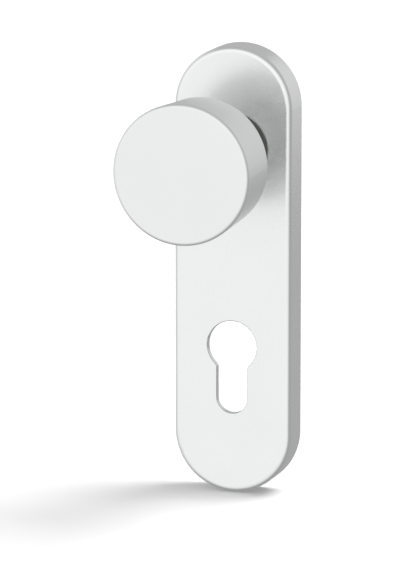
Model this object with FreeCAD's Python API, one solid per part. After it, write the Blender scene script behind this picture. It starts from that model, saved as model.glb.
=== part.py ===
"""Door knob on a short round-ended backplate with a euro profile cut-out.

Units are millimetres. The origin is on the knob's turning axis at the door
surface. +Z is up, -Y points away from the door towards the user, +X is to the
user's right. Each piece is written to parts/<node>.step.
"""
import FreeCAD, Part
import math
import os

os.makedirs("parts", exist_ok=True)
V = FreeCAD.Vector

# ---- driving dimensions -------------------------------------------------
# backplate cover
PLATE_W = 44.0            # width, and diameter of the round ends
PLATE_H = 163.0           # overall height
PLATE_T = 13.0            # height over the door surface
PLATE_ZC = -44.5          # middle of the plate, from the knob axis
PLATE_WALL = 2.2          # side wall
PLATE_FRONT = 2.5         # front wall
EDGE_R = 2.0              # rounding of the front edge
NECK_BORE_R = 12.05       # hole for the neck bearing
# euro profile cut-out
PZ = 72.0                 # knob axis to the middle of the cylinder's round part
CUT_R = 9.3               # round part
CUT_SLOT = 11.6           # width of the lower part
CUT_H = 34.0              # overall height
CUT_CORNER = 5.75         # corner radius at the foot of the slot
CUT_NECK_R = 1.6          # rounding where the round part meets the slot
# base plate
BASE_GAP = 0.3            # to the cover's side wall
BASE_T = 9.3              # depth of the casting
BASE_FLOOR = 3.6          # floor left under the pockets
POCKET_R = 18.3           # spring pocket
WINDOW_W = 27.0           # clearance window round the cylinder
WINDOW_TOP, WINDOW_BOT = -57.6, -102.0
# posts
POST_Z = (26.5, -111.5)
POST_R = 4.0
POST_OUT = 12.0           # how far a post stands behind the plate
POST_THREAD_R = 2.1       # core of the M5 thread
POST_THREAD_L = 14.0
POST_STUD_R = 2.95        # M6 front thread
# knob
KNOB_FRONT_Y = -69.5      # front face
KNOB_BACK_Y = -44.2       # rear rim
KNOB_R_FRONT = 24.9
KNOB_R_BACK = 23.7
KNOB_WALL = 1.8
KNOB_FACE = 2.5
KNOB_BACK_T = 3.8
# neck and bearings
NECK_R = 10.0
NECK_FLANGE_R = 12.0
JOURNAL_R = 8.0
RUN = 0.05                # radial running clearance
SHOULDER_Y = -9.5         # neck shoulder behind the front bearing
BEARING_R = 13.3          # visible flange of the front bearing
BEARING_OUT = 1.3         # how far it stands proud of the plate
# driver, spring and stops
DISC_R, DISC_T, DISC_Y = 14.0, 1.6, -9.2
TAB_W = 3.8
TURN = 45.0               # free turn each way
PIN_R = 1.9
ANCHOR_Z, LIMIT_Z = 16.2, -14.8
WIRE_R, COIL_R, COIL_PITCH = 0.55, 11.75, 1.25
# spindle
SQ = 8.0
SPINDLE_FRONT, SPINDLE_BACK = -37.5, 50.0


def cyl(r, y0, y1, x=0.0, z=0.0):
    return Part.makeCylinder(r, y1 - y0, V(x, y0, z), V(0, 1, 0))


def box(x0, x1, y0, y1, z0, z1):
    return Part.makeBox(x1 - x0, y1 - y0, z1 - z0, V(x0, y0, z0))


def turned(points):
    """Solid of revolution about the Y axis from (radius, y) corners."""
    pts = [V(r, y, 0) for r, y in points]
    face = Part.Face(Part.makePolygon(pts + [pts[0]]))
    s = face.revolve(V(0, 0, 0), V(0, 1, 0), 360)
    return s if s.Volume > 0 else s.reversed()


def arc_pts(cr, cy, r, a0, a1, n=8):
    """Points of an arc in the (radius, y) plane."""
    return [(cr + r * math.cos(math.radians(a0 + (a1 - a0) * i / n)),
             cy + r * math.sin(math.radians(a0 + (a1 - a0) * i / n))) for i in range(n + 1)]


def stadium(w, h, zc, y0, y1):
    """Round-ended slab, extruded from y0 to y1."""
    r, s = w / 2.0, h / 2.0 - w / 2.0
    top, bot = zc + s, zc - s
    edges = [
        Part.Arc(V(r, y0, top), V(0, y0, top + r), V(-r, y0, top)).toShape(),
        Part.LineSegment(V(-r, y0, top), V(-r, y0, bot)).toShape(),
        Part.Arc(V(-r, y0, bot), V(0, y0, bot - r), V(r, y0, bot)).toShape(),
        Part.LineSegment(V(r, y0, bot), V(r, y0, top)).toShape(),
    ]
    f = Part.Face(Part.Wire(edges))
    return f.extrude(V(0, y1 - y0, 0))


def hex_prism(af, y0, y1, x=0.0, z=0.0):
    r = af / math.sqrt(3)
    pts = [V(x + r * math.cos(math.radians(60 * i)), y0, z + r * math.sin(math.radians(60 * i))) for i in range(7)]
    return Part.Face(Part.makePolygon(pts)).extrude(V(0, y1 - y0, 0))


def edges_at(shape, test):
    return [e for e in shape.Edges if test(e)]


def flat_y(e, y, tol=1e-4):
    b = e.BoundBox
    return abs(b.YMin - y) < tol and abs(b.YMax - y) < tol


def euro_profile(grow, y0, y1):
    """The cut-out's prism, grown by grow all round."""
    r, w = CUT_R + grow, CUT_SLOT + 2 * grow
    top = -PZ + CUT_R
    bot = top - CUT_H - grow
    c = CUT_CORNER + grow
    slot = box(-w / 2, w / 2, y0, y1, bot, -PZ)
    slot = slot.makeFillet(c, edges_at(slot, lambda e: abs(e.BoundBox.ZMax - bot) < 1e-4
                                       and e.BoundBox.YMax - e.BoundBox.YMin > 0.1))
    p = slot.fuse(cyl(r, y0, y1, 0, -PZ)).removeSplitter()
    z_meet = -PZ - math.sqrt(r * r - w * w / 4)
    inner = edges_at(p, lambda e: e.BoundBox.YMax - e.BoundBox.YMin > 0.1
                     and abs(e.BoundBox.ZMax - z_meet) < 1e-2 and abs(abs(e.BoundBox.XMax) - w / 2) < 1e-2)
    return p.makeFillet(CUT_NECK_R, inner)


made = {}


def save(name, solids):
    solids = solids if isinstance(solids, list) else [solids]
    out = []
    for s in solids:
        s = s.removeSplitter() if len(s.Solids) == 1 else s
        assert s.isValid(), name
        assert len(s.Solids) == 1, (name, len(s.Solids))
        out.append(s.Solids[0])
    shape = out[0] if len(out) == 1 else Part.makeCompound(out)
    shape.exportStep("parts/%s.step" % name)
    made[name] = shape
    bb = shape.BoundBox
    print("%-20s vol %9.1f  solids %d  x %.1f..%.1f y %.1f..%.1f z %.1f..%.1f" % (
        name, shape.Volume, len(out), bb.XMin, bb.XMax, bb.YMin, bb.YMax, bb.ZMin, bb.ZMax))


# ---- cover plate: hollow shell ------------------------------------------
front = -PLATE_T
inside = front + PLATE_FRONT
cover = stadium(PLATE_W, PLATE_H, PLATE_ZC, front, 0)
cover = cover.makeFillet(EDGE_R, edges_at(cover, lambda e: flat_y(e, front)))
cover = cover.makeFillet(0.25, edges_at(cover, lambda e: flat_y(e, 0)))
cover = cover.cut(stadium(PLATE_W - 2 * PLATE_WALL, PLATE_H - 2 * PLATE_WALL, PLATE_ZC, inside, 1))
for z in POST_Z:
    cover = cover.fuse(cyl(5.5, inside - 0.5, -6.0, 0, z))
cut = euro_profile(0.0, front - 1, 1)
cover = cover.cut(cut)
cover = cover.cut(cyl(NECK_BORE_R, front - 1, 0))
for z in POST_Z:
    cover = cover.cut(cyl(3.0, inside + 0.5, -5, 0, z))
lip = edges_at(cover, lambda e: flat_y(e, front) and abs(e.BoundBox.XMax) < CUT_R + 0.1
               and e.BoundBox.ZMax < -PZ + CUT_R + 0.1)
cover = cover.makeFillet(0.45, lip)
save("cover_plate", cover)

# ---- base plate: casting inside the cover -------------------------------
bw = PLATE_W - 2 * PLATE_WALL - 2 * BASE_GAP
bh = PLATE_H - 2 * PLATE_WALL - 2 * BASE_GAP
base = stadium(bw, bh, PLATE_ZC, -BASE_T, 0)
base = base.makeChamfer(0.7, edges_at(base, lambda e: flat_y(e, -BASE_T)))
base = base.cut(cyl(POCKET_R, -BASE_T - 1, -BASE_FLOOR))
base = base.fuse(cyl(10.6, -5.6, -BASE_FLOOR + 0.5))
# lightening pockets open to the rear between spring pocket and window, with ribs between them
for x0, x1 in ((-16.8, -1.6), (1.6, 16.8)):
    for z0, z1 in ((-54.4, -39.8), (-37.0, -23.0)):
        p = box(x0, x1, -5.9, 1, z0, z1)
        p = p.makeFillet(2.5, edges_at(p, lambda e: e.BoundBox.YMax - e.BoundBox.YMin > 3))
        base = base.cut(p)
win = stadium(WINDOW_W, WINDOW_TOP - WINDOW_BOT, (WINDOW_TOP + WINDOW_BOT) / 2, -BASE_T - 1, 1)
base = base.cut(win)
# bearing bore and the rear recess for the retaining ring
base = base.cut(cyl(9.65, -7, 1)).cut(cyl(11.2, -2.2, 1))
for z in POST_Z:
    base = base.cut(cyl(6.2, -BASE_T - 1, -6.0, 0, z))
    base = base.cut(cyl(3.2, -7, 1, 0, z)).cut(cyl(6.3, -2.2, 1, 0, z))
for z in (ANCHOR_Z, LIMIT_Z):
    base = base.cut(cyl(PIN_R + 0.02, -4, -0.9, 0, z))
SCREWS = [(sx * 14.4, sz * 15.6) for sx in (-1, 1) for sz in (-1, 1)]
for x, z in SCREWS:
    base = base.cut(cyl(1.25, -BASE_T - 1, -4.6, x, z))
# broken edges on the rear face
base = base.makeChamfer(0.3, edges_at(base, lambda e: flat_y(e, 0)))

# ---- mounting posts ------------------------------------------------------
posts = []
for z in POST_Z:
    stud = cyl(POST_STUD_R, -9.7, -2.0, 0, z)
    stud = stud.makeChamfer(0.4, edges_at(stud, lambda e: flat_y(e, -9.7)))
    flange = hex_prism(10.4, -2.2, -0.2, 0, z)
    crown = Part.makeCone(7.4, 5.2, 2.2, V(0, -2.4, z), V(0, 1, 0))
    flange = flange.common(crown)
    body = cyl(POST_R, -0.4, POST_OUT, 0, z)
    body = body.makeChamfer(0.6, edges_at(body, lambda e: flat_y(e, POST_OUT)))
    p = stud.fuse(flange).fuse(body)
    p = p.cut(cyl(POST_THREAD_R, POST_OUT - POST_THREAD_L, POST_OUT + 1, 0, z))
    posts.append(p)
save("mounting_posts", posts)

# ---- front bearing of the neck -------------------------------------------
bf = front - BEARING_OUT
save("neck_bearing", turned(
    [(NECK_R + RUN, bf), (BEARING_R - 0.5, bf), (BEARING_R - 0.15, bf + 0.15), (BEARING_R, bf + 0.5),
     (BEARING_R, front), (NECK_BORE_R - 0.05, front), (NECK_BORE_R - 0.05, inside + 0.05),
     (12.5, inside + 0.05), (12.5, inside + 0.35), (12.0, inside + 0.9), (NECK_R + RUN, inside + 0.9)]))

# ---- rear bush ------------------------------------------------------------
save("rear_bush", turned([(JOURNAL_R + RUN, -6.2), (10.4, -6.2), (10.4, -5.6), (9.6, -5.6),
                          (9.6, -2.2), (JOURNAL_R + RUN, -2.2)]))

# ---- stop pins -------------------------------------------------------------
pins = []
for z in (ANCHOR_Z, LIMIT_Z):
    p = cyl(PIN_R, -9.0, -1.0, 0, z)
    p = p.makeChamfer(0.25, edges_at(p, lambda e: flat_y(e, -9.0) or flat_y(e, -1.0)))
    pins.append(p)
save("stop_pins", pins)

# ---- return spring: two coils with a leg each side of the driver's tab -----
leg_x = TAB_W / 2 + WIRE_R + 0.05
bend = 1.3
a_leg = math.degrees(math.asin(leg_x / COIL_R))
# the bend's centre sits beyond the leg and outside the coil's centre line
cx = leg_x + bend
cz = math.sqrt((COIL_R + bend) ** 2 - cx ** 2)
a_touch = math.degrees(math.atan2(cx, cz))      # from the top, where the bend meets the coil
sweep = 720.0 - 2 * a_touch
y_front = -6.75
y_rear = y_front + COIL_PITCH * sweep / 360.0
path = [V(leg_x, y_front, 17.6), V(leg_x, y_front, 15.6), V(leg_x, y_front, cz + 0.4)]
for i in range(6):                              # first bend
    a = math.radians(180 + (90 - a_touch) * i / 6.0)
    path.append(V(cx + bend * math.cos(a), y_front, cz + bend * math.sin(a)))
n = 72
for i in range(n + 1):                          # coils, clockwise seen from the user
    a = math.radians(a_touch + sweep * i / n)
    path.append(V(COIL_R * math.sin(a), y_front + (y_rear - y_front) * i / n, COIL_R * math.cos(a)))
for i in range(1, 7):                           # second bend
    a = math.radians(-(90 - a_touch) * (1 - i / 6.0))
    path.append(V(-cx + bend * math.cos(a), y_rear, cz + bend * math.sin(a)))
path += [V(-leg_x, y_rear, cz + 0.4), V(-leg_x, y_rear, 15.6), V(-leg_x, y_rear, 17.6)]
rings = []
u = V(1, 0, 0)
for i, p in enumerate(path):
    t = path[min(i + 1, len(path) - 1)] - path[max(i - 1, 0)]
    t.normalize()
    u = u - t * u.dot(t)                        # carried along without twist
    u.normalize()
    c = Part.Wire([Part.Circle(V(0, 0, 0), V(0, 0, 1), WIRE_R).toShape()])
    c.Placement = FreeCAD.Placement(p, FreeCAD.Rotation(u, t.cross(u), t, "ZXY"))
    rings.append(c)
spring = Part.makeLoft(rings, True, True)
save("return_spring", spring)

# ---- cassette cover and its screws -----------------------------------------
cc = box(-17.6, 17.6, -10.3, -9.3, -18.9, 18.9)
cc = cc.makeFillet(4.0, edges_at(cc, lambda e: e.BoundBox.YMax - e.BoundBox.YMin > 0.9))
cc = cc.cut(cyl(13.0, -11, -9))
screws = []
for x, z in SCREWS:
    cone = Part.makeCone(2.45, 1.35, 1.1, V(x, -10.3, z), V(0, 1, 0))
    cc = cc.cut(cone).cut(cyl(1.35, -11, -9, x, z))
    head = Part.makeCone(2.3, 1.2, 1.1, V(x, -10.25, z), V(0, 1, 0))
    s = head.fuse(cyl(1.2, -9.4, -5.0, x, z)).cut(hex_prism(1.5, -11, -9.6, x, z))
    screws.append(s)
save("cassette_cover", cc)
for x, z in SCREWS:
    base = base.cut(Part.makeCone(1.55, 1.25, 0.3, V(x, -9.3, z), V(0, 1, 0)))
save("base_plate", base)
save("cassette_screws", screws)

# ---- knob shell: turned cup --------------------------------------------------
rf = 1.3
slope = (KNOB_R_FRONT - KNOB_R_BACK) / (KNOB_BACK_Y - KNOB_FRONT_Y)
outer = [(0, KNOB_FRONT_Y)] + arc_pts(KNOB_R_FRONT - rf, KNOB_FRONT_Y + rf, rf, -90, 0, 10)
outer += arc_pts(KNOB_R_BACK - 0.7, KNOB_BACK_Y - 0.7, 0.7, 0, 90, 8)
seat_r = KNOB_R_BACK - KNOB_WALL
seat_y = KNOB_BACK_Y - 0.2 - KNOB_BACK_T - 0.2
inner = [(seat_r, KNOB_BACK_Y), (seat_r, seat_y),
         (seat_r + slope * (seat_y - KNOB_FRONT_Y - KNOB_FACE - 1), KNOB_FRONT_Y + KNOB_FACE + 1),
         (seat_r + slope * (seat_y - KNOB_FRONT_Y - KNOB_FACE) - 1, KNOB_FRONT_Y + KNOB_FACE),
         (0, KNOB_FRONT_Y + KNOB_FACE)]
save("knob_shell", turned(outer + inner))

# ---- knob back disc ------------------------------------------------------------
rear = KNOB_BACK_Y - 0.2
deep = rear - KNOB_BACK_T
kb = turned([(7.05, deep), (11.0, deep), (11.0, deep + 1.6), (18.6, deep + 1.6), (18.6, deep),
             (seat_r - 0.35, deep), (seat_r - 0.05, deep + 0.3), (seat_r - 0.05, rear - 0.2),
             (seat_r - 0.25, rear), (17.6, rear), (17.3, rear - 0.4), (16.7, rear - 0.4), (16.4, rear), (7.05, rear)])
for x in (-9.3, 9.3):
    kb = kb.cut(cyl(1.28, rear - 3.0, rear + 1, x, 0))
save("knob_back", kb)

# ---- neck -------------------------------------------------------------------------
waist = [(NECK_FLANGE_R, rear + 2.6)]
for i in range(1, 13):
    t = i / 12.0
    waist.append((NECK_FLANGE_R - (NECK_FLANGE_R - NECK_R) * math.sin(t * math.pi / 2), rear + 2.6 + 6.5 * (1 - math.cos(t * math.pi / 2))))
neck = turned([(0, rear - 3.6), (6.6, rear - 3.6), (7.0, rear - 3.2), (7.0, rear), (NECK_FLANGE_R - 0.4, rear),
               (NECK_FLANGE_R, rear + 0.4)] + waist +
              [(NECK_R, SHOULDER_Y - 0.3), (NECK_R - 0.3, SHOULDER_Y), (JOURNAL_R, SHOULDER_Y), (JOURNAL_R, -1.75),
               (7.3, -1.75), (7.3, -0.75), (JOURNAL_R, -0.75), (JOURNAL_R, -0.6), (7.7, -0.3), (0, -0.3)])
tongues = cyl(9.9, SHOULDER_Y - 0.5, DISC_Y + DISC_T).cut(cyl(7.9, SHOULDER_Y - 1, 0))
tongues = tongues.common(box(-11, 11, SHOULDER_Y - 1, 0, -2, 2))
neck = neck.fuse(tongues)
neck = neck.cut(box(-SQ / 2 - 0.05, SQ / 2 + 0.05, -38.0, 1, -SQ / 2 - 0.05, SQ / 2 + 0.05))
neck = neck.cut(cyl(3.0, rear - 5, rear + 4.4))
for x in (-9.3, 9.3):
    neck = neck.cut(cyl(1.28, rear - 1, rear + 3.4, x, 0))
GRUB_Y = -24.0
neck = neck.cut(Part.makeCylinder(2.5, 9, V(0, GRUB_Y, -3.5), V(0, 0, -1)))
save("knob_neck", neck)

# ---- clamp screw, washer and drive pins inside the knob -------------------------------
wf = deep - 0.05 - 1.2
hexs = hex_prism(5.0, wf - 6.1, wf - 3.1)
head = cyl(5.0, wf - 6.0, wf)
head = head.makeChamfer(0.5, edges_at(head, lambda e: flat_y(e, wf - 6.0)))
screw = head.fuse(cyl(2.95, wf - 0.5, rear + 3.6)).cut(hexs)
save("clamp_screw", screw)
save("lock_washer", turned([(3.15, wf + 0.02), (9.5, wf + 0.02), (9.5, deep - 0.02), (3.15, deep - 0.02)]))
save("drive_pins", [cyl(1.25, rear - 2.8, rear + 3.2, x, 0) for x in (-9.3, 9.3)])

# ---- spindle and its grub screw -----------------------------------------------------------
sp = box(-SQ / 2, SQ / 2, SPINDLE_FRONT, SPINDLE_BACK, -SQ / 2, SQ / 2)
sp = sp.makeChamfer(0.5, edges_at(sp, lambda e: e.BoundBox.YMax - e.BoundBox.YMin > 20))
tip = cyl(5.3, SPINDLE_FRONT - 1, SPINDLE_BACK + 1)
tip = tip.makeChamfer(2.2, edges_at(tip, lambda e: flat_y(e, SPINDLE_BACK + 1)))
save("spindle", sp.common(tip))
grub = Part.makeCylinder(2.4, 5.4, V(0, GRUB_Y, -4.05), V(0, 0, -1))
hx = hex_prism(2.5, 0, 2.3)
hx.rotate(V(0, 0, 0), V(1, 0, 0), 90)
hx.translate(V(0, GRUB_Y, -9.5))
save("spindle_grub_screw", grub.cut(hx))

# ---- driver disc ------------------------------------------------------------------------------
disc = cyl(DISC_R, DISC_Y, DISC_Y + DISC_T).cut(cyl(JOURNAL_R + 0.05, DISC_Y - 1, 0))
slots = cyl(9.98, DISC_Y - 1, 0).common(box(-11, 11, DISC_Y - 1, 0, -2.05, 2.05))
disc = disc.cut(slots)
half = TURN + math.degrees(math.asin(PIN_R / abs(LIMIT_Z))) + 0.6
pts = [V(0, DISC_Y - 1, 0)]
for i in range(-6, 7):
    a = math.radians(-90 + half * i / 6.0)
    pts.append(V(30 * math.cos(a), DISC_Y - 1, 30 * math.sin(a)))
wedge = Part.Face(Part.makePolygon(pts + [pts[0]])).extrude(V(0, DISC_T + 2, 0))
disc = disc.cut(wedge.cut(cyl(12.6, DISC_Y - 2, 0)))
tab = cyl(DISC_R, DISC_Y + 0.2, -3.9).cut(cyl(12.8, DISC_Y - 1, 0)).common(box(-TAB_W / 2, TAB_W / 2, -20, 0, 5, 20))
save("driver_disc", disc.fuse(tab))

# ---- axial take-up spring, thrust washer, retaining ring ------------------------------------------
save("disc_spring", turned([(8.2, -6.75), (8.2, -6.25), (10.2, -7.05), (10.2, -7.55)]))
save("thrust_washer", turned([(8.1, -2.15), (10.6, -2.15), (10.6, -1.78), (8.1, -1.78)]))
rr = cyl(9.6, -1.7, -0.8)
ears = []
for s in (-1, 1):
    a = math.radians(-90 + s * 22)
    ears.append((9.2 * math.cos(a), 9.2 * math.sin(a)))
for x, z in ears:
    rr = rr.fuse(cyl(1.6, -1.7, -0.8, x, z))
rr = rr.cut(cyl(7.35, -3, 1))
rr = rr.cut(Part.Face(Part.makePolygon([V(0, -3, 0), V(14 * math.sin(math.radians(-13)), -3, -14), V(14 * math.sin(math.radians(13)), -3, -14), V(0, -3, 0)])).extrude(V(0, 4, 0)))
for x, z in ears:
    rr = rr.cut(cyl(0.6, -3, 1, x, z))
save("retaining_ring", rr)

print(len(made), "nodes")
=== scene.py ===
"""Looks for the door knob on its short backplate. Metres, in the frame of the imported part."""

import math

import bpy
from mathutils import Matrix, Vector


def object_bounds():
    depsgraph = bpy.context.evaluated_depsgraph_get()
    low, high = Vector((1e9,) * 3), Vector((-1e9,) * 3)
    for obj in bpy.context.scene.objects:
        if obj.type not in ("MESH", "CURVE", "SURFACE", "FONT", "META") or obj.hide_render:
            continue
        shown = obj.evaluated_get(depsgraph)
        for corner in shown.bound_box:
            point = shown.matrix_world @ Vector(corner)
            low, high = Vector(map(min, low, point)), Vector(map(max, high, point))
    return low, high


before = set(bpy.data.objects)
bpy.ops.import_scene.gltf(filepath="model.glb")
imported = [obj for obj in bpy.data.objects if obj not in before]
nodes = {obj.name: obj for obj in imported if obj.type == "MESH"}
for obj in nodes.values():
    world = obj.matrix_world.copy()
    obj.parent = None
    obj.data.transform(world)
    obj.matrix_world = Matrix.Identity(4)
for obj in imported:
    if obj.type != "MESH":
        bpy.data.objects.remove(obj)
cad_lo, cad_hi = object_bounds()

scene = bpy.context.scene
scene.view_settings.view_transform = "Standard"
scene.view_settings.look = "None"
scene.view_settings.exposure = 0.0
scene.view_settings.gamma = 1.0


# ---- materials --------------------------------------------------------------
class Mat:
    """A principled material with small helpers for procedural detail in object space."""

    def __init__(self, name, metallic, rough, color):
        self.m = bpy.data.materials.new(name)
        self.m.use_nodes = True
        self.t = self.m.node_tree
        self.n = self.t.nodes
        self.b = self.n["Principled BSDF"]
        self.b.inputs["Metallic"].default_value = metallic
        self.b.inputs["Roughness"].default_value = rough
        self.b.inputs["Base Color"].default_value = (*color, 1)
        self.co = self.n.new("ShaderNodeTexCoord")

    def link(self, a, b):
        self.t.links.new(a, b)

    def noise(self, scale, detail=4.0, rough=0.5, stretch=(1, 1, 1), distortion=0.0):
        mp = self.n.new("ShaderNodeMapping")
        mp.inputs["Scale"].default_value = stretch
        self.link(self.co.outputs["Object"], mp.inputs["Vector"])
        x = self.n.new("ShaderNodeTexNoise")
        x.inputs["Scale"].default_value = scale
        x.inputs["Detail"].default_value = detail
        x.inputs["Roughness"].default_value = rough
        x.inputs["Distortion"].default_value = distortion
        self.link(mp.outputs["Vector"], x.inputs["Vector"])
        return x.outputs["Fac"]

    def ramp(self, fac, stops):
        r = self.n.new("ShaderNodeValToRGB")
        e = r.color_ramp.elements
        while len(e) < len(stops):
            e.new(0.5)
        for k, (p, c) in zip(e, stops):
            k.position = p
            k.color = (*c, 1) if len(c) == 3 else c
        self.link(fac, r.inputs["Fac"])
        return r.outputs["Color"]

    def range(self, fac, lo, hi, a=0.3, b=0.7):
        r = self.n.new("ShaderNodeMapRange")
        r.inputs["From Min"].default_value = a
        r.inputs["From Max"].default_value = b
        r.inputs["To Min"].default_value = lo
        r.inputs["To Max"].default_value = hi
        self.link(fac, r.inputs["Value"])
        return r.outputs["Result"]

    def add(self, a, b, ka=1.0, kb=1.0):
        x = self.n.new("ShaderNodeMath")
        x.operation = "MULTIPLY"
        x.inputs[1].default_value = ka
        self.link(a, x.inputs[0])
        y = self.n.new("ShaderNodeMath")
        y.operation = "MULTIPLY_ADD"
        y.inputs[1].default_value = kb
        self.link(b, y.inputs[0])
        self.link(x.outputs[0], y.inputs[2])
        return y.outputs[0]

    def radius(self, lo, hi):
        """0 to 1 from lo to hi metres away from the knob's axis."""
        flat = self.n.new("ShaderNodeVectorMath")
        flat.operation = "MULTIPLY"
        flat.inputs[1].default_value = (1, 0, 1)
        self.link(self.co.outputs["Object"], flat.inputs[0])
        x = self.n.new("ShaderNodeVectorMath")
        x.operation = "LENGTH"
        self.link(flat.outputs[0], x.inputs[0])
        return self.range(x.outputs["Value"], 0.0, 1.0, lo, hi)

    def bump(self, height, strength, distance):
        x = self.n.new("ShaderNodeBump")
        x.inputs["Strength"].default_value = strength
        x.inputs["Distance"].default_value = distance
        self.link(height, x.inputs["Height"])
        self.link(x.outputs["Normal"], self.b.inputs["Normal"])

    def color(self, c):
        self.link(c, self.b.inputs["Base Color"])

    def rough(self, r):
        self.link(r, self.b.inputs["Roughness"])


def satin_aluminium(name, rough=0.36, stretch=(1, 1, 1), shade_tone=1.0):
    # shade_tone below 1 paints shade into a darker copy of the finish
    m = Mat(name, 1.0, rough, (0.88, 0.89, 0.885))
    cloud = m.noise(38, 3, 0.5)
    grain = m.noise(5200, 2, 0.6, stretch)
    m.color(m.ramp(m.add(cloud, grain, 0.7, 0.3),
                   [(0.30, tuple(shade_tone * c for c in (0.868, 0.880, 0.876))), (0.70, tuple(shade_tone * c for c in (0.902, 0.910, 0.906)))]))
    m.rough(m.range(m.add(cloud, grain, 0.5, 0.5), rough - 0.03, rough + 0.03))
    m.bump(grain, 0.10, 0.00002)
    return m.m


def painted_shade_back_aluminium():
    """The knob's rear disc: painted shade, near-black round the neck where the gap to the plate lies in
    shade, fading to bright turned aluminium towards the rim.
    """
    m = Mat("painted_shade_back_aluminium", 0.4, 0.42, (0.8, 0.8, 0.8))
    cloud = m.noise(90, 4, 0.55)
    grain = m.noise(3000, 2, 0.6)
    # painted shade: the mask runs out from the neck, and the ramp paints the disc near-black round the neck
    # and bright towards the rim
    r = m.radius(0.0095, 0.0235)
    m.color(m.ramp(m.add(r, m.add(cloud, grain, 0.6, 0.4), 0.9, 0.1),
                   [(0.05, (0.22, 0.222, 0.22)), (0.34, (0.80, 0.805, 0.80)), (0.95, (0.92, 0.925, 0.92))]))
    m.rough(m.range(grain, 0.36, 0.52))
    m.bump(grain, 0.2, 0.00003)
    return m.m


def zinc():
    m = Mat("zinc_casting", 0.9, 0.5, (0.55, 0.56, 0.58))
    cloud = m.noise(60, 5, 0.6, distortion=0.4)
    grain = m.noise(1800, 3, 0.6)
    m.color(m.ramp(m.add(cloud, grain, 0.7, 0.3), [(0.30, (0.42, 0.43, 0.45)), (0.72, (0.60, 0.61, 0.63))]))
    m.rough(m.range(cloud, 0.42, 0.62))
    m.bump(m.add(cloud, grain, 0.3, 0.7), 0.35, 0.00006)
    return m.m


def plated_steel(name="plated_steel", a=(0.68, 0.69, 0.70), b=(0.75, 0.76, 0.77), rough=0.28):
    m = Mat(name, 1.0, rough, b)
    cloud = m.noise(140, 4, 0.55, distortion=0.6)
    grain = m.noise(3600, 2, 0.5)
    m.color(m.ramp(cloud, [(0.30, a), (0.70, b)]))
    m.rough(m.range(m.add(cloud, grain, 0.6, 0.4), rough - 0.03, rough + 0.04))
    m.bump(grain, 0.10, 0.00002)
    return m.m


def painted_shade_ring():
    # painted shade: the neck bearing ring is coloured near-black to stand for the shaded gap between the
    # knob's back and the plate
    m = Mat("black_nylon", 0.0, 0.48, (0.03, 0.03, 0.029))
    cloud = m.noise(220, 3, 0.5)
    grain = m.noise(4200, 2, 0.6)
    m.color(m.ramp(cloud, [(0.30, (0.046, 0.046, 0.043)), (0.70, (0.062, 0.062, 0.058))]))
    m.rough(m.range(grain, 0.42, 0.58))
    m.bump(grain, 0.25, 0.00003)
    return m.m


def bronze():
    m = Mat("bronze", 1.0, 0.45, (0.5, 0.34, 0.18))
    cloud = m.noise(420, 4, 0.6)
    pores = m.noise(5200, 2, 0.7)
    m.color(m.ramp(m.add(cloud, pores, 0.5, 0.5), [(0.32, (0.24, 0.15, 0.07)), (0.66, (0.60, 0.41, 0.21))]))
    m.rough(m.range(pores, 0.36, 0.6))
    m.bump(pores, 0.4, 0.00003)
    return m.m


alu_plate = satin_aluminium("satin_aluminium", 0.27)
alu_knob = satin_aluminium("satin_aluminium_turned", 0.40)
# painted shade: the neck is the same satin aluminium, darkened to 0.80 for the shade between the knob and
# the plate
alu_neck_painted_shade = satin_aluminium("satin_aluminium_neck_shaded", 0.32, shade_tone=0.80)
mats = {
    "cover_plate": alu_plate,
    "knob_shell": alu_knob,
    "knob_back": painted_shade_back_aluminium(),
    "knob_neck": alu_neck_painted_shade,
    "base_plate": zinc(),
    "neck_bearing": painted_shade_ring(),
    "rear_bush": bronze(),
}
plated = plated_steel()
dark = plated_steel("dark_steel", (0.16, 0.16, 0.165), (0.27, 0.27, 0.28), 0.34)
springy = plated_steel("spring_steel", (0.24, 0.235, 0.23), (0.40, 0.39, 0.38), 0.30)
for n in ("mounting_posts", "cassette_cover", "cassette_screws", "lock_washer", "spindle", "driver_disc", "thrust_washer"):
    mats[n] = plated
for n in ("stop_pins", "clamp_screw", "drive_pins", "spindle_grub_screw"):
    mats[n] = dark
for n in ("return_spring", "disc_spring", "retaining_ring"):
    mats[n] = springy
for name, o in nodes.items():
    o.data.materials.clear()
    o.data.materials.append(mats[name])

# ---- stage: pale floor -------------------------------------------------------
lo, hi = cad_lo, cad_hi
floor_z = lo.z - 0.0004
me = bpy.data.meshes.new("studio_floor")
S = 14.0
me.from_pydata([(-S, -S, floor_z), (S, -S, floor_z), (S, S, floor_z), (-S, S, floor_z)], [], [(0, 1, 2, 3)])
floor = bpy.data.objects.new("studio_floor", me)
scene.collection.objects.link(floor)
fm = Mat("pale_floor", 0.0, 0.9, (0.93, 0.93, 0.93))
fm.color(fm.ramp(fm.noise(3, 3, 0.5), [(0.3, (0.92, 0.92, 0.92)), (0.7, (0.945, 0.945, 0.945))]))
fm.b.inputs["Specular IOR Level"].default_value = 0.0
me.materials.append(fm.m)
floor.visible_glossy = False

# white surround, which only the camera sees
import bmesh
bm = bmesh.new()
bmesh.ops.create_uvsphere(bm, u_segments=48, v_segments=24, radius=5.0)
dome_me = bpy.data.meshes.new("studio_surround")
bm.to_mesh(dome_me)
bm.free()
dome = bpy.data.objects.new("studio_surround", dome_me)
scene.collection.objects.link(dome)
dm = bpy.data.materials.new("white_surround")
dm.use_nodes = True
dm.node_tree.nodes.clear()
emit = dm.node_tree.nodes.new("ShaderNodeEmission")
emit.inputs["Color"].default_value = (1, 1, 1, 1)
emit.inputs["Strength"].default_value = 1.0
dm_out = dm.node_tree.nodes.new("ShaderNodeOutputMaterial")
dm.node_tree.links.new(emit.outputs[0], dm_out.inputs["Surface"])
dome_me.materials.append(dm)
dome.visible_diffuse = dome.visible_glossy = dome.visible_transmission = False
dome.visible_volume_scatter = dome.visible_shadow = False

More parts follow.
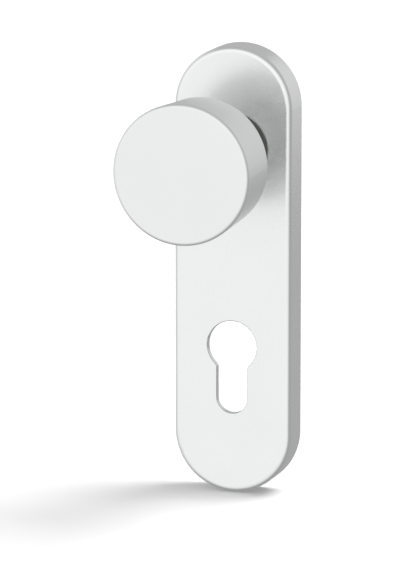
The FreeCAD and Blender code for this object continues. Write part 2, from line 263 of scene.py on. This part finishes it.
# ---- light ---------------------------------------------------------------------
# A studio that is bright in front of the part and darker beside and behind it.
world = bpy.data.worlds.new("studio")
scene.world = world
world.use_nodes = True
wt = world.node_tree
bg = wt.nodes["Background"]
co = wt.nodes.new("ShaderNodeTexCoord")
sep = wt.nodes.new("ShaderNodeSeparateXYZ")
wt.links.new(co.outputs["Generated"], sep.inputs[0])
to01 = wt.nodes.new("ShaderNodeMapRange")
to01.inputs["From Min"].default_value = -1
to01.inputs["From Max"].default_value = 1
wt.links.new(sep.outputs["Y"], to01.inputs["Value"])
wr = wt.nodes.new("ShaderNodeValToRGB")
el = wr.color_ramp.elements
ENV = [(-1.0, 1.04), (-0.85, 1.01), (-0.62, 0.88), (-0.34, 0.46), (-0.05, 0.41), (0.30, 0.41), (0.90, 0.44), (1.0, 0.44)]
while len(el) < len(ENV):
    el.new(0.5)
for e, (y, v) in zip(el, ENV):
    e.position = (y + 1) / 2
    e.color = (v, v, v, 1)
wt.links.new(to01.outputs["Result"], wr.inputs["Fac"])
zup = wt.nodes.new("ShaderNodeMapRange")
zup.inputs["From Min"].default_value = -1
zup.inputs["From Max"].default_value = 1
zup.inputs["To Min"].default_value = 0.92
zup.inputs["To Max"].default_value = 1.08
wt.links.new(sep.outputs["Z"], zup.inputs["Value"])
mul = wt.nodes.new("ShaderNodeVectorMath")
mul.operation = "SCALE"
wt.links.new(wr.outputs["Color"], mul.inputs[0])
wt.links.new(zup.outputs["Result"], mul.inputs["Scale"])


def soft_side(axis, a, b, most):
    """A pale panel of the studio, fading in from a to b along one axis."""
    x = wt.nodes.new("ShaderNodeMapRange")
    x.interpolation_type = "SMOOTHSTEP"
    x.inputs["From Min"].default_value = a
    x.inputs["From Max"].default_value = b
    x.inputs["To Min"].default_value = 0.0
    x.inputs["To Max"].default_value = most
    wt.links.new(sep.outputs[axis], x.inputs["Value"])
    return x.outputs["Result"]


both = wt.nodes.new("ShaderNodeMath")
both.operation = "ADD"
wt.links.new(soft_side("X", -0.50, -0.92, 0.30), both.inputs[0])
wt.links.new(soft_side("Z", -0.15, 0.25, 0.05), both.inputs[1])
plus = wt.nodes.new("ShaderNodeVectorMath")
plus.operation = "ADD"
wt.links.new(mul.outputs[0], plus.inputs[0])
wt.links.new(both.outputs[0], plus.inputs[1])
wt.links.new(plus.outputs[0], bg.inputs["Color"])
bg.inputs["Strength"].default_value = 1.0


def area(name, loc, aim, size, energy):
    d = bpy.data.lights.new(name, "AREA")
    d.shape = "RECTANGLE"
    d.size, d.size_y = size
    d.energy = energy
    o = bpy.data.objects.new(name, d)
    scene.collection.objects.link(o)
    o.location = loc
    o.rotation_mode = "QUATERNION"
    o.rotation_quaternion = (Vector(aim) - Vector(loc)).to_track_quat("-Z", "Y")
    o.visible_camera = False
    return o


mid = Vector((0, -0.02, -0.04))
# soft key from above, behind and to the right: the floor's shadow falls forward and to the left
sun = bpy.data.lights.new("key", "SUN")
sun.energy = 2.3
sun.angle = math.radians(34)
sun_o = bpy.data.objects.new("key", sun)
scene.collection.objects.link(sun_o)
sun_o.visible_glossy = False
sun_o.rotation_mode = "QUATERNION"
sun_o.rotation_quaternion = Vector((-0.42, -0.30, -1.0)).to_track_quat("-Z", "Y")
# pale card behind and above, which the side faces pick up towards their top
area("card", (0.36, 0.62, 0.12), (0.0, 0.0, -0.02), (0.7, 0.5), 0.24)

# ---- camera ---------------------------------------------------------------------
AZ, EL, DIST = math.radians(19.0), math.radians(11.5), 1.6
PX_PER_M = 2800.0                       # at the aim point, for an image 400 px wide
back = Vector((math.sin(AZ) * math.cos(EL), -math.cos(AZ) * math.cos(EL), math.sin(EL)))
right = Vector((math.cos(AZ), math.sin(AZ), 0))
up = back.cross(right)
aim = Vector((0, -0.020, -0.035))
cam_data = bpy.data.cameras.new("camera")
cam = bpy.data.objects.new("camera", cam_data)
scene.collection.objects.link(cam)
cam_data.sensor_width = 36.0
cam_data.lens = 36.0 * DIST / (570.0 / PX_PER_M)
# the aim point lands at (225.7, 249.2) of 400 x 570
cam.location = aim + back * DIST - right * ((225.7 - 200) / PX_PER_M) - up * ((285 - 249.2) / PX_PER_M)
cam.rotation_mode = "QUATERNION"
cam.rotation_quaternion = (-back).to_track_quat("-Z", "Y")
cam_data.clip_start, cam_data.clip_end = 0.05, 60
scene.camera = cam
